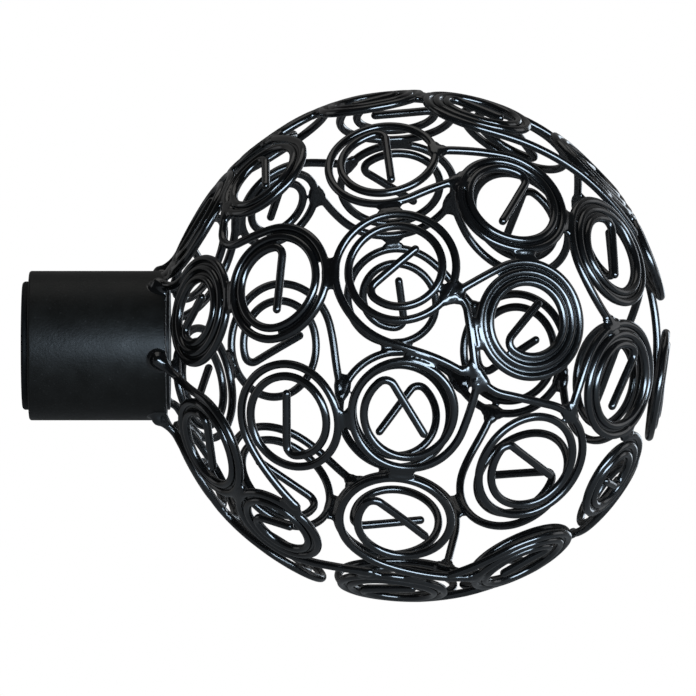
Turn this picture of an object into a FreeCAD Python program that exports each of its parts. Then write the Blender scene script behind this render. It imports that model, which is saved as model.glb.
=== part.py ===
"""Curtain pole finial: an open ball of welded wire scrolls on a tube collar with a plastic reducer sleeve.

The pole axis is X. The origin is on that axis, in the plane of the collar's mouth. The pole goes in
along +X, and the ball stands at the far end. Z is up. Sizes are in millimetres, angles in degrees.
"""
import FreeCAD, Part
import math
import os
from collections import namedtuple

import Sketcher

Vector = FreeCAD.Vector

SIZES = {
    "pole_diameter": 16.0,
    "pole_clearance": 0.1,
    "sleeve_wall": 1.35,
    "sleeve_lip": 1.0,
    "sleeve_depth": "=collar_length + disc_stand - disc_thickness - sleeve_end_gap",
    "sleeve_end_gap": 1.25,
    "sleeve_edge": 0.5,
    "collar_fit": 0.05,
    "collar_wall": 1.5,
    "collar_length": 20.3,
    "collar_edge": 0.4,
    "disc_thickness": 1.5,
    "disc_stand": 0.45,
    "disc_edge": 0.2,
    "ball_diameter": 75.5,
    "ball_offset": 36.3,
    "wire_diameter": 1.25,
    "winding_gap": 0.2,
    "weld_gap": 0.08,
    "eye_least": 2.0,
    "eye_bend": 1.4,
    "bar_clearance": 2.2,
    "seat_overlap": 1.2,
}

# Arcs at the end of a winding that make up its outer turn
OUTER_ARCS = 3
# The shortest step by which a tail is lengthened while it looks for the next wire
TAIL_STEP = 0.03
# Angle that the wire turns through from the straight bar in the eye to the first ring
EYE_TURN = 100.0

# One scroll: where its axis meets the ball (polar from the collar's side, around from the front, up),
# which way its bar points seen from outside (0 away from the collar, 90 up), how many turns it may have,
# how much wider than close-wound they lie, how large it may be as an angle at the ball's centre, its
# tail, as runs along the ball, each with its length and the turn it makes to the left, and for a scroll
# beside the collar, where round the collar its end is seated.
Scroll = namedtuple("Scroll", "polar around bar turns loose rim tail seat", defaults=(None,))

TAIL_PLAIN = ((6, 10), (26, -8))

# Rows of the ball from the collar to the tip: the scrolls in view, from the top down, then the number
# that share the rest of the row evenly, round the back, and their polar angle.
ROWS = (
    ((Scroll(31.0, 15.5, 218, 2.70, 0.0, 13.3, (), 52),
      Scroll(35.0, -45.0, 100, 2.00, 0.0, 13.6, (), -11)), 4, 31.0),
    ((Scroll(52.8, 56.0, 90, 1.80, 0.0, 14.4, TAIL_PLAIN),
      Scroll(56.6, 16.0, 82, 2.02, 0.1, 15.0, ((9, 0), (9, -90), (8, 0))),
      Scroll(60.6, -18.6, 270, 1.80, 0.3, 14.2, ((6, 6), (34, 4))),
      Scroll(58.2, -57.4, 200, 2.20, 0.0, 14.0, ((8, 5), (16, -25)))), 5, 57.0),
    ((Scroll(79.0, 82.0, 30, 2.30, 0.0, 13.4, TAIL_PLAIN),
      Scroll(83.2, 46.8, 95, 1.54, 0.4, 14.5, ((18, -10),)),
      Scroll(86.7, 18.0, 221, 1.92, 0.5, 15.3, ((16, 46), (8, 0), (9, -14))),
      Scroll(88.3, -15.8, 121, 1.58, 0.3, 14.2, ((9, 5),)),
      Scroll(87.3, -44.8, 136, 1.20, 1.2, 15.4, ((10, 25), (22, 0))),
      Scroll(86.1, -77.0, 200, 2.20, 0.0, 13.4, TAIL_PLAIN)), 6, 86.0),
    ((Scroll(105.7, 75.0, 150, 2.30, 0.0, 13.6, ((6, 10), (40, -8))),
      Scroll(111.7, 37.0, 65, 2.05, 0.0, 14.4, ((20, 0),)),
      Scroll(117.0, 6.5, 229, 2.66, 0.0, 14.4, ((16, 5),)),
      Scroll(117.5, -32.1, 132, 1.78, 0.4, 15.3, ((13, 2), (11, -72), (11, 2), (6, 80))),
      Scroll(114.5, -73.0, 20, 2.20, 0.0, 13.4, TAIL_PLAIN)), 5, 115.0),
    ((Scroll(135.2, 84.0, 250, 2.40, 0.0, 13.4, TAIL_PLAIN),
      Scroll(141.0, 34.8, 94, 2.33, 0.0, 14.2, ((18, 34),)),
      Scroll(144.0, -15.2, 48, 2.26, 0.0, 14.5, ((16, 14),)),
      Scroll(141.2, -56.0, 300, 2.30, 0.0, 12.0, TAIL_PLAIN)), 3, 142.0),
    ((Scroll(172.0, -90.0, 140, 2.30, 0.2, 14.0, TAIL_PLAIN),
      Scroll(158.0, 95.0, 60, 1.90, 0.2, 12.5, TAIL_PLAIN)), 0, 165.0),
)

# Hidden scrolls: a turn of the bar from one to the next, the turns they take, how loose and how large
HIDDEN_BAR_STEP = 137.0
HIDDEN_TURNS = (1.75, 1.5, 1.95, 1.6)
HIDDEN_LOOSE = (0.6, 1.1, 0.5, 0.9)
HIDDEN_RIM = 16.0
# Beside the collar the winding ends facing it, and is seated a little further round
SEAT_BEARING = 110.0
SEAT_LEAD = 33.0
SEAT_SLANT = 40.0
# Bearing to either side of a winding's end within which it counts as its full size
END_MARGIN = 25.0

doc = FreeCAD.newDocument("finial")
sheet = doc.addObject("Spreadsheet::Sheet", "sizes")
for line, (alias, value) in enumerate(SIZES.items(), start=1):
    sheet.set(f"A{line}", alias)
    sheet.set(f"B{line}", str(value))
    sheet.setAlias(f"B{line}", alias)
doc.recompute()

# Radii that follow from each other, from the pole outwards
SLEEVE_BORE = "(sizes.pole_diameter / 2 + sizes.pole_clearance)"
SLEEVE_RADIUS = f"({SLEEVE_BORE} + sizes.sleeve_wall)"
COLLAR_BORE = f"({SLEEVE_RADIUS} + sizes.collar_fit)"
COLLAR_RADIUS = f"({COLLAR_BORE} + sizes.collar_wall)"
DISC_RADIUS = f"({COLLAR_BORE} - sizes.collar_fit)"


def size(formula):
    """The value of a formula in the sheet's names, as a plain number."""
    return float(sheet.evalExpression(formula))


def turned_part(label, start, length, radii, edge, rounded):
    """A body turned about the pole axis: concentric circles padded along X, with rounded outer edges."""
    body = doc.addObject("PartDesign::Body", label)
    body.Label = label
    plane = next(feature for feature in body.Origin.OriginFeatures if feature.Role == "YZ_Plane")
    sketch = body.newObject("Sketcher::SketchObject", f"{label}_section")
    sketch.AttachmentSupport = [(plane, "")]
    sketch.MapMode = "FlatFace"
    sketch.setExpression("AttachmentOffset.Base.z", start)
    for index, radius in enumerate(radii):
        sketch.addGeometry(Part.Circle(Vector(), Vector(0, 0, 1), size(radius)))
        sketch.addConstraint(Sketcher.Constraint("Coincident", index, 3, -1, 1))
        constraint = sketch.addConstraint(Sketcher.Constraint("Radius", index, size(radius)))
        sketch.setExpression(f"Constraints[{constraint}]", radius)
    pad = body.newObject("PartDesign::Pad", f"{label}_pad")
    pad.Profile = sketch
    pad.setExpression("Length", length)
    doc.recompute()
    faces_at = [size(start) if end == "near" else size(f"{start} + {length}") for end in rounded]
    outer = size(radii[0])
    names = [f"Edge{number}" for number, rim in enumerate(pad.Shape.Edges, start=1)
             if rim.Curve.TypeId == "Part::GeomCircle" and abs(rim.Curve.Radius - outer) < 1e-6
             and any(abs(rim.CenterOfMass.x - place) < 1e-6 for place in faces_at)]
    fillet = body.newObject("PartDesign::Fillet", f"{label}_edges")
    fillet.Base = (pad, names)
    fillet.setExpression("Radius", edge)
    return body


def on_ball(polar, around):
    """Unit vectors at a place on the ball: outwards, away from the collar, and upwards round the axis."""
    polar = math.radians(polar)
    around = math.radians(around)
    round_axis = Vector(0, -math.cos(around), math.sin(around))
    along_axis = Vector(1, 0, 0)
    outward = round_axis * math.sin(polar) - along_axis * math.cos(polar)
    away = round_axis * math.cos(polar) + along_axis * math.sin(polar)
    return outward, away, outward.cross(away)


def turned(point, axis, degrees):
    """A vector turned about an axis through the origin."""
    return FreeCAD.Rotation(axis, degrees).multVec(point)


class BentWire:
    """A wire's centre line as a bender makes it: feeds and bends, each tangent to the last."""

    def __init__(self, place, heading):
        self.place = place
        self.heading = heading
        self.edges = []

    def feed(self, length):
        end = self.place + self.heading * length
        self.edges.append(Part.LineSegment(self.place, end).toShape())
        self.place = end

    def bend(self, centre, axis, degrees):
        """An arc round a centre; the heading turns with it."""
        spoke = self.place - centre
        middle = centre + turned(spoke, axis, degrees / 2)
        end = centre + turned(spoke, axis, degrees)
        self.edges.append(Part.Arc(self.place, middle, end).toShape())
        self.place = end
        self.heading = turned(self.heading, axis, degrees)

    def bend_left(self, radius, degrees, drop=0.0):
        """A bend to the left in the scroll's own plane, or tilted to lie lower after half a turn."""
        flat = Vector(0, 0, 1)
        tilt = math.asin(drop / 2 / radius)
        towards = flat.cross(self.heading) * math.cos(tilt) - flat * math.sin(tilt)
        self.bend(self.place + towards * radius, self.heading.cross(towards), degrees)

    def run_on_ball(self, ball_centre, length, turn):
        """An arc that keeps to the ball's curve and turns to the left by an angle over its length."""
        outward = self.place - ball_centre
        outward -= self.heading * outward.dot(self.heading)
        reach = outward.Length
        outward.normalize()
        pull = outward.cross(self.heading) * (math.radians(turn) / length) - outward / reach
        radius = 1 / pull.Length
        self.bend(self.place + pull * radius ** 2, self.heading.cross(pull), math.degrees(length / radius))

    def reach_point(self, target, arrival):
        """Two arcs that meet a point with a given heading there."""
        gap = target - self.place
        both = self.heading + arrival
        square = 2 * (self.heading.dot(arrival) - 1)
        along = gap.dot(both)
        reach = (along - math.sqrt(along ** 2 - square * gap.dot(gap))) / square
        joint = (self.place + self.heading * reach + target - arrival * reach) / 2
        for end in (joint, target):
            chord = end - self.place
            axis = self.heading.cross(chord)
            half = self.heading.getAngle(chord)
            side = turned(self.heading, axis, 90)
            self.bend(self.place + side * (chord.Length / 2 / math.sin(half)), axis, math.degrees(2 * half))


class WoundScroll:
    """The path of one scroll, wound from the bar in its eye, and its place on the ball."""

    def __init__(self, scroll, rim):
        self.scroll = scroll
        self.rim = rim
        pitch = pitch_of(scroll)
        rim_radius = SHELL_RADIUS * math.sin(math.radians(rim))
        turns = min(scroll.turns, (rim_radius - size("sizes.eye_least")) / pitch)
        eye_radius = rim_radius - turns * pitch
        eye_bend = size("sizes.eye_bend")
        bar_length = 2 * eye_radius - eye_bend - size("sizes.bar_clearance")
        self.wire = BentWire(Vector(), Vector(1, 0, 0))
        self.wire.feed(bar_length)
        self.wire.bend_left(eye_bend, EYE_TURN)
        flat = Vector(0, 0, 1)
        axis_at = self.wire.place + flat.cross(self.wire.heading) * eye_radius
        half_turns = 2 * turns
        ring_radius = eye_radius
        spread = eye_radius
        while half_turns > 0:
            far_spread = 2 * ring_radius - spread
            drop = shell_depth(far_spread) - shell_depth(spread)
            self.wire.bend_left(ring_radius, 180 * min(1, half_turns), drop)
            spread = far_spread
            ring_radius += pitch / 2
            half_turns -= 1
        end = self.wire.place - axis_at
        end_depth = shell_depth(math.hypot(end.x, end.y))
        self.ball_centre = axis_at + flat * (end.z + end_depth - SHELL_RADIUS)
        outward, away, up = on_ball(scroll.polar, scroll.around)
        bar = math.radians(scroll.bar)
        bar_way = away * math.cos(bar) + up * math.sin(bar)
        turn = FreeCAD.Rotation(bar_way, outward.cross(bar_way), outward, "ZXY")
        self.placement = FreeCAD.Placement(BALL_CENTRE - turn.multVec(self.ball_centre), turn)
        self.outer_turn = self.placed(self.wire.edges[-OUTER_ARCS:])
        self.tail = None

    def placed(self, edges):
        """A wire through these edges, where it lies on the finial."""
        wire = Part.Wire(edges)
        wire.Placement = self.placement
        return wire

    def add_tail(self, obstacles):
        """Run the tail along the ball until it meets the next wire, and stop a weld's gap short of it."""
        clear = size("sizes.wire_diameter / 2 + sizes.weld_gap")
        first = len(self.wire.edges)
        for travel, turn in self.scroll.tail:
            length = SHELL_RADIUS * math.radians(travel)
            reached = self.clear_length(length, turn, obstacles, clear)
            if reached > 0:
                self.wire.run_on_ball(self.ball_centre, reached, turn * reached / length)
            if reached < length:
                break
        if len(self.wire.edges) > first:
            self.tail = self.placed(self.wire.edges[first:])

    def clear_length(self, length, turn, obstacles, clear):
        """How far a run of the tail goes before its tip comes too near another wire."""
        reached = 0.0
        gap = clear
        while reached < length:
            ahead = min(length, reached + max((gap - clear) / 2, TAIL_STEP))
            trial = BentWire(self.wire.place, self.wire.heading)
            trial.run_on_ball(self.ball_centre, ahead, turn * ahead / length)
            tip = self.placement.multVec(trial.place)
            heading = self.placement.Rotation.multVec(trial.heading)
            gap = min(end_gap(tip, heading, other) for other in obstacles)
            if gap < clear:
                break
            reached = ahead
        return reached

    def add_seat(self):
        """Bring the end of the wire to the side of the collar, slanting along it."""
        first = len(self.wire.edges)
        seat = math.radians(self.scroll.seat)
        slant = math.radians(SEAT_SLANT)
        radius = size(f"{COLLAR_RADIUS} + sizes.wire_diameter / 2 + sizes.weld_gap")
        sideways = Vector(0, -math.cos(seat), math.sin(seat))
        target = sideways * radius + Vector(size("sizes.collar_length - sizes.seat_overlap"), 0, 0)
        round_collar = Vector(0, math.sin(seat), math.cos(seat))
        arrival = Vector(-math.cos(slant), 0, 0) + round_collar * math.sin(slant)
        back = self.placement.inverse()
        self.wire.reach_point(back.multVec(target), back.Rotation.multVec(arrival))
        self.tail = self.placed(self.wire.edges[first:])


def angle_between(one, other):
    """Angle between two scrolls' axes at the ball's centre."""
    first = on_ball(one.polar, one.around)[0]
    second = on_ball(other.polar, other.around)[0]
    return math.degrees(first.getAngle(second))


def end_gap(tip, heading, other):
    """Distance from the flat end of a wire to the centre line of another one."""
    distance, pairs, _ = Part.Vertex(tip).distToShape(other)
    aside = math.sin(heading.getAngle(pairs[0][1] - tip))
    return distance - size("sizes.wire_diameter / 2") * aside


def pitch_of(scroll):
    """Distance from one turn of a scroll to the next."""
    return size("sizes.wire_diameter + sizes.winding_gap") + scroll.loose


def shell_depth(spread):
    """How far the ball's curve falls away at a distance from a scroll's axis."""
    return SHELL_RADIUS - math.sqrt(SHELL_RADIUS ** 2 - spread ** 2)


def reach_towards(scroll, other):
    """Angular radius of a scroll on the side of another one: it is at its largest where its winding ends."""
    outward, away, up = on_ball(scroll.polar, scroll.around)
    there = on_ball(other.polar, other.around)[0]
    bearing = math.degrees(math.atan2(there.dot(up), there.dot(away)))
    end = scroll.bar + EYE_TURN - 90 + 360 * scroll.turns
    behind = max(0.0, (end - bearing + END_MARGIN) % 360 - 2 * END_MARGIN)
    return scroll.rim - math.degrees(pitch_of(scroll) / SHELL_RADIUS) * behind / 360


def hidden_scrolls(seen, count, polar, number):
    """Scrolls that share the rest of a row evenly."""
    last = seen[-1]
    room = 360 - (seen[0].around - last.around)
    for place in range(1, count + 1):
        around = last.around - room * place / (count + 1)
        turns = HIDDEN_TURNS[(number + place) % len(HIDDEN_TURNS)]
        loose = HIDDEN_LOOSE[(number + place) % len(HIDDEN_LOOSE)]
        if last.seat is None:
            bar = HIDDEN_BAR_STEP * (number + place)
            yield Scroll(polar, around, bar, turns, loose, HIDDEN_RIM, TAIL_PLAIN)
        else:
            bar = SEAT_BEARING + 90 - EYE_TURN - 360 * turns
            yield Scroll(polar, around, bar, turns, loose, HIDDEN_RIM, (), around + SEAT_LEAD)


def room_round(scroll, scrolls):
    """Angle left between a scroll and its nearest neighbour, less the wire and the weld."""
    apart = math.degrees(size("sizes.wire_diameter + sizes.weld_gap") / SHELL_RADIUS)
    return min(angle_between(scroll, other) - reach_towards(scroll, other) - reach_towards(other, scroll)
               for other in scrolls if other is not scroll) - apart


def all_scrolls():
    """Every scroll of the ball, wound so that crowded ones give way to each other."""
    scrolls = []
    for seen, count, polar in ROWS:
        scrolls += list(seen) + list(hidden_scrolls(seen, count, polar, len(scrolls)))
    return [WoundScroll(scroll, scroll.rim + min(0.0, room_round(scroll, scrolls)) / 2)
            for scroll in scrolls]


def neighbours(scroll):
    """The wound scrolls near enough for this one, or its tail, to meet them."""
    return [other for other in wound if other is not scroll
            and angle_between(other.scroll, scroll.scroll) < 2 * (scroll.rim + other.rim)]


def grown(scroll):
    """The same scroll wound larger, until it meets its nearest neighbour or has its full size."""
    gap = min(scroll.outer_turn.distToShape(other.outer_turn)[0] for other in neighbours(scroll))
    room = gap - size("sizes.wire_diameter + sizes.weld_gap")
    growth = max(0.0, math.degrees(room / SHELL_RADIUS))
    return WoundScroll(scroll.scroll, min(scroll.rim + growth, scroll.scroll.rim))


SHELL_RADIUS = size("(sizes.ball_diameter - sizes.wire_diameter) / 2")
BALL_CENTRE = Vector(size("sizes.collar_length + sizes.ball_offset"), 0, 0)

parts = [
    turned_part("collar", "0", "sizes.collar_length", (COLLAR_RADIUS, COLLAR_BORE),
                "sizes.collar_edge", ("near", "far")),
    turned_part("reducer_sleeve", "-sizes.sleeve_lip", "sizes.sleeve_lip + sizes.sleeve_depth",
                (SLEEVE_RADIUS, SLEEVE_BORE), "sizes.sleeve_edge", ("near",)),
    turned_part("end_disc", "sizes.collar_length + sizes.disc_stand - sizes.disc_thickness",
                "sizes.disc_thickness", (DISC_RADIUS,), "sizes.disc_edge", ("far",)),
]

# The wire's round section, drawn once, at the start of every scroll's path
section = doc.addObject("Part::Circle", "wire_section")
section.setExpression("Radius", "sizes.wire_diameter / 2")
section.Placement = FreeCAD.Placement(Vector(), FreeCAD.Rotation(Vector(0, 0, 1), Vector(1, 0, 0)))

wound = all_scrolls()
for place, scroll in enumerate(wound):
    wound[place] = grown(scroll)
for scroll in wound:
    if scroll.scroll.seat is not None:
        scroll.add_seat()
for scroll in wound:
    if scroll.scroll.tail:
        near = neighbours(scroll)
        obstacles = [other.outer_turn for other in near] + [other.tail for other in near if other.tail]
        scroll.add_tail(obstacles)

for number, scroll in enumerate(wound, start=1):
    label = f"scroll_{number:02d}"
    path = doc.addObject("Part::Feature", f"{label}_path")
    path.Shape = Part.Wire(scroll.wire.edges)
    sweep = doc.addObject("Part::Sweep", label)
    sweep.Label = label
    sweep.Sections = [section]
    sweep.Spine = (path, [])
    sweep.Solid = True
    sweep.Placement = scroll.placement
    parts.append(sweep)

doc.recompute()

for item in doc.Objects:
    if "Invalid" in item.State or "Error" in item.State:
        raise RuntimeError(f"{item.Label} failed: {item.State}")
for part in parts:
    if part.Shape.isNull() or not part.Shape.isValid():
        raise RuntimeError(f"{part.Label} has no valid shape")

os.makedirs("parts", exist_ok=True)
for part in parts:
    part.Shape.exportStep(f"parts/{part.Label}.step")
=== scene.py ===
import math
from collections import namedtuple

import bpy
import numpy as np
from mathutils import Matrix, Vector, noise


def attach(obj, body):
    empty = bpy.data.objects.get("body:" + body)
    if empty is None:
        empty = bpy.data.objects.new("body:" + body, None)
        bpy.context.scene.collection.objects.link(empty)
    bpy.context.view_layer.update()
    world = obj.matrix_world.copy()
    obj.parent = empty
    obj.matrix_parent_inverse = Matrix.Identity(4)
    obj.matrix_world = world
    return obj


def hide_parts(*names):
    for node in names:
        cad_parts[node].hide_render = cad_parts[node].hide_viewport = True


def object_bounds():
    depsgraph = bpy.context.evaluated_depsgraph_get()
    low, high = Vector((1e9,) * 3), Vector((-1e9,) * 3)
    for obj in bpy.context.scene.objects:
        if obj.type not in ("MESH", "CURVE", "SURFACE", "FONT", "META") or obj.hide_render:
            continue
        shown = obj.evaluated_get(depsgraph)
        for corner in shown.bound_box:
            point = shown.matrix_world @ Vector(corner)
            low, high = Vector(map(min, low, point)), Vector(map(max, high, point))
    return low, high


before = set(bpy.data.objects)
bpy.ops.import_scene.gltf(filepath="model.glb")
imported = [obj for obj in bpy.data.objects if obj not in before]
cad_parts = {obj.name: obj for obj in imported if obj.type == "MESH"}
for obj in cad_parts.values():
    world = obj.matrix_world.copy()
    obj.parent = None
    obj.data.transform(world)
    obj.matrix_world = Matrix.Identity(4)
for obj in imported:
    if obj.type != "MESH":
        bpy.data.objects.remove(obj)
cad_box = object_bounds()

# The scrolls are worked out in millimetres, as in the CAD source, and turned into metres when a mesh is made
MM = 0.001
BODY = "root"

WIRE_DIAMETER = 1.25
WIRE_RADIUS = WIRE_DIAMETER / 2
WINDING_GAP = 0.2
WELD_GAP = 0.08
# A scroll's eye: its least radius, the bend at its bar's end, that bend's turn, and the bar's clearance
EYE_LEAST = 2.0
EYE_BEND = 1.4
EYE_TURN = 100.0
BAR_CLEARANCE = 2.2
# How far the end of a wire lies over the collar where it is seated
SEAT_OVERLAP = 1.2
COLLAR_RADIUS = 11.0
COLLAR_BORE = 9.5
COLLAR_LENGTH = 20.3
COLLAR_EDGE = 0.4
CORNER_STEPS = 6
SLEEVE_BORE = 8.1
SLEEVE_RADIUS = 9.45
SLEEVE_EDGE = 0.5
SLEEVE_LIP = 1.0
SLEEVE_DEPTH = 18.0
DISC_BACK = 19.25
DISC_FRONT = 20.75
DISC_EDGE = 0.2
BALL_DIAMETER = 75.5
BALL_CENTRE = np.array((56.6, 0.0, 0.0))
# The wires' centre lines keep to this radius
SHELL_RADIUS = (BALL_DIAMETER - WIRE_DIAMETER) / 2
# Least distances to another wire's centre line: from a centre line beside it, and from a wire's end
CLEAR = WIRE_DIAMETER + WELD_GAP
END_CLEAR = WIRE_RADIUS + WELD_GAP
# The last arcs of a winding, which its neighbours can meet
OUTER_ARCS = 3
# Steps along a tail while it looks for the next wire, and along a wire's centre line
TAIL_STEP = 0.03
POINT_STEP = 0.35
SAME_POINT = 1e-6

# One scroll: its axis on the ball (polar from the collar's side, around from the front), the bearing of its
# bar, its turns, how much wider than close-wound they lie, its largest size as an angle, its tail as runs
# of length and left turn, and for a scroll beside the collar, where round the collar its end is seated.
Scroll = namedtuple("Scroll", "polar around bar turns loose rim tail seat", defaults=(None,))

TAIL_PLAIN = ((6, 10), (26, -8))

# Rows from the collar to the tip: the scrolls in view, the number that share the rest, and their polar angle
ROWS = (
    ((Scroll(31.0, 15.5, 218, 2.70, 0.0, 13.3, (), 52),
      Scroll(35.0, -45.0, 100, 2.00, 0.0, 13.6, (), -11)), 4, 31.0),
    ((Scroll(52.8, 56.0, 90, 1.80, 0.0, 14.4, TAIL_PLAIN),
      Scroll(56.6, 16.0, 82, 2.02, 0.1, 15.0, ((9, 0), (9, -90), (8, 0))),
      Scroll(60.6, -18.6, 270, 1.80, 0.3, 14.2, ((6, 6), (34, 4))),
      Scroll(58.2, -57.4, 200, 2.20, 0.0, 14.0, ((8, 5), (16, -25)))), 5, 57.0),
    ((Scroll(79.0, 82.0, 30, 2.30, 0.0, 13.4, TAIL_PLAIN),
      Scroll(83.2, 46.8, 95, 1.54, 0.4, 14.5, ((18, -10),)),
      Scroll(86.7, 18.0, 221, 1.92, 0.5, 15.3, ((16, 46), (8, 0), (9, -14))),
      Scroll(88.3, -15.8, 121, 1.58, 0.3, 14.2, ((9, 5),)),
      Scroll(87.3, -44.8, 136, 1.20, 1.2, 15.4, ((10, 25), (22, 0))),
      Scroll(86.1, -77.0, 200, 2.20, 0.0, 13.4, TAIL_PLAIN)), 6, 86.0),
    ((Scroll(105.7, 75.0, 150, 2.30, 0.0, 13.6, ((6, 10), (40, -8))),
      Scroll(111.7, 37.0, 65, 2.05, 0.0, 14.4, ((20, 0),)),
      Scroll(117.0, 6.5, 229, 2.66, 0.0, 14.4, ((16, 5),)),
      Scroll(117.5, -32.1, 132, 1.78, 0.4, 15.3, ((13, 2), (11, -72), (11, 2), (6, 80))),
      Scroll(114.5, -73.0, 20, 2.20, 0.0, 13.4, TAIL_PLAIN)), 5, 115.0),
    ((Scroll(135.2, 84.0, 250, 2.40, 0.0, 13.4, TAIL_PLAIN),
      Scroll(141.0, 34.8, 94, 2.33, 0.0, 14.2, ((18, 34),)),
      Scroll(144.0, -15.2, 48, 2.26, 0.0, 14.5, ((16, 14),)),
      Scroll(141.2, -56.0, 300, 2.30, 0.0, 12.0, TAIL_PLAIN)), 3, 142.0),
    ((Scroll(172.0, -90.0, 140, 2.30, 0.2, 14.0, TAIL_PLAIN),
      Scroll(158.0, 95.0, 60, 1.90, 0.2, 12.5, TAIL_PLAIN)), 0, 165.0),
)

# Hidden scrolls: the turn of the bar from one to the next, their turns, how loose and how large they are
HIDDEN_BAR_STEP = 137.0
HIDDEN_TURNS = (1.75, 1.5, 1.95, 1.6)
HIDDEN_LOOSE = (0.6, 1.1, 0.5, 0.9)
HIDDEN_RIM = 16.0
# Beside the collar a winding ends heading for it, and is seated a little further round it, at a slant
SEAT_BEARING = 110.0
SEAT_LEAD = 33.0
SEAT_SLANT = 40.0
# Bearing to either side of a winding's end within which it counts as its full size
END_MARGIN = 25.0
# Outwards, square to a scroll's own plane
FLAT = np.array((0.0, 0.0, 1.0))


def unit(vector):
    """A vector of length one with the same direction."""
    return vector / np.linalg.norm(vector)


def on_ball(polar, around):
    """Unit vectors at a place on the ball: outwards, away from the collar, and upwards round the axis."""
    polar = math.radians(polar)
    around = math.radians(around)
    round_axis = np.array((0.0, -math.cos(around), math.sin(around)))
    along_axis = np.array((1.0, 0.0, 0.0))
    outward = round_axis * math.sin(polar) - along_axis * math.cos(polar)
    away = round_axis * math.cos(polar) + along_axis * math.sin(polar)
    return outward, away, np.cross(outward, away)


def angle_of(one, other):
    """Angle between two vectors, in degrees."""
    return math.degrees(math.acos(max(-1.0, min(1.0, np.dot(unit(one), unit(other))))))


class BentWire:
    """A wire's centre line as a bender makes it: feeds and bends, each tangent to the last."""

    def __init__(self, place, heading):
        self.place = place
        self.heading = heading
        self.runs = []

    def feed(self, length):
        """A straight run."""
        steps = max(1, math.ceil(length / POINT_STEP))
        self.runs.append(self.place + np.outer(np.linspace(0, length, steps + 1), self.heading))
        self.place = self.runs[-1][-1]

    def bend(self, centre, axis, degrees):
        """An arc round a centre, square to the axis; the heading turns with it."""
        axis = unit(axis)
        spoke = self.place - centre
        sweep = math.radians(degrees)
        steps = max(2, math.ceil(np.linalg.norm(spoke) * abs(sweep) / POINT_STEP))
        angles = np.linspace(0, sweep, steps + 1)[:, None]
        self.runs.append(centre + np.cos(angles) * spoke + np.sin(angles) * np.cross(axis, spoke))
        self.place = self.runs[-1][-1]
        self.heading = self.heading * math.cos(sweep) + np.cross(axis, self.heading) * math.sin(sweep)

    def bend_left(self, radius, degrees, drop=0.0):
        """A bend to the left in the scroll's own plane, or tilted to lie lower after half a turn."""
        tilt = math.asin(drop / 2 / radius)
        towards = np.cross(FLAT, self.heading) * math.cos(tilt) - FLAT * math.sin(tilt)
        self.bend(self.place + towards * radius, np.cross(self.heading, towards), degrees)

    def run_on_ball(self, ball_centre, length, turn):
        """An arc that keeps to the ball's curve and turns to the left by an angle over its length."""
        outward = self.place - ball_centre
        outward = outward - self.heading * np.dot(outward, self.heading)
        reach = np.linalg.norm(outward)
        outward = outward / reach
        pull = np.cross(outward, self.heading) * (math.radians(turn) / length) - outward / reach
        radius = 1 / np.linalg.norm(pull)
        axis = np.cross(self.heading, pull)
        self.bend(self.place + pull * radius ** 2, axis, math.degrees(length / radius))

    def reach_point(self, target, arrival):
        """Two arcs that meet a point with a given heading there."""
        gap = target - self.place
        square = 2 * (np.dot(self.heading, arrival) - 1)
        along = np.dot(gap, self.heading + arrival)
        reach = (along - math.sqrt(along ** 2 - square * np.dot(gap, gap))) / square
        joint = (self.place + self.heading * reach + target - arrival * reach) / 2
        for end in (joint, target):
            chord = end - self.place
            axis = unit(np.cross(self.heading, chord))
            half = angle_of(self.heading, chord)
            radius = np.linalg.norm(chord) / 2 / math.sin(math.radians(half))
            self.bend(self.place + np.cross(axis, self.heading) * radius, axis, 2 * half)


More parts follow.
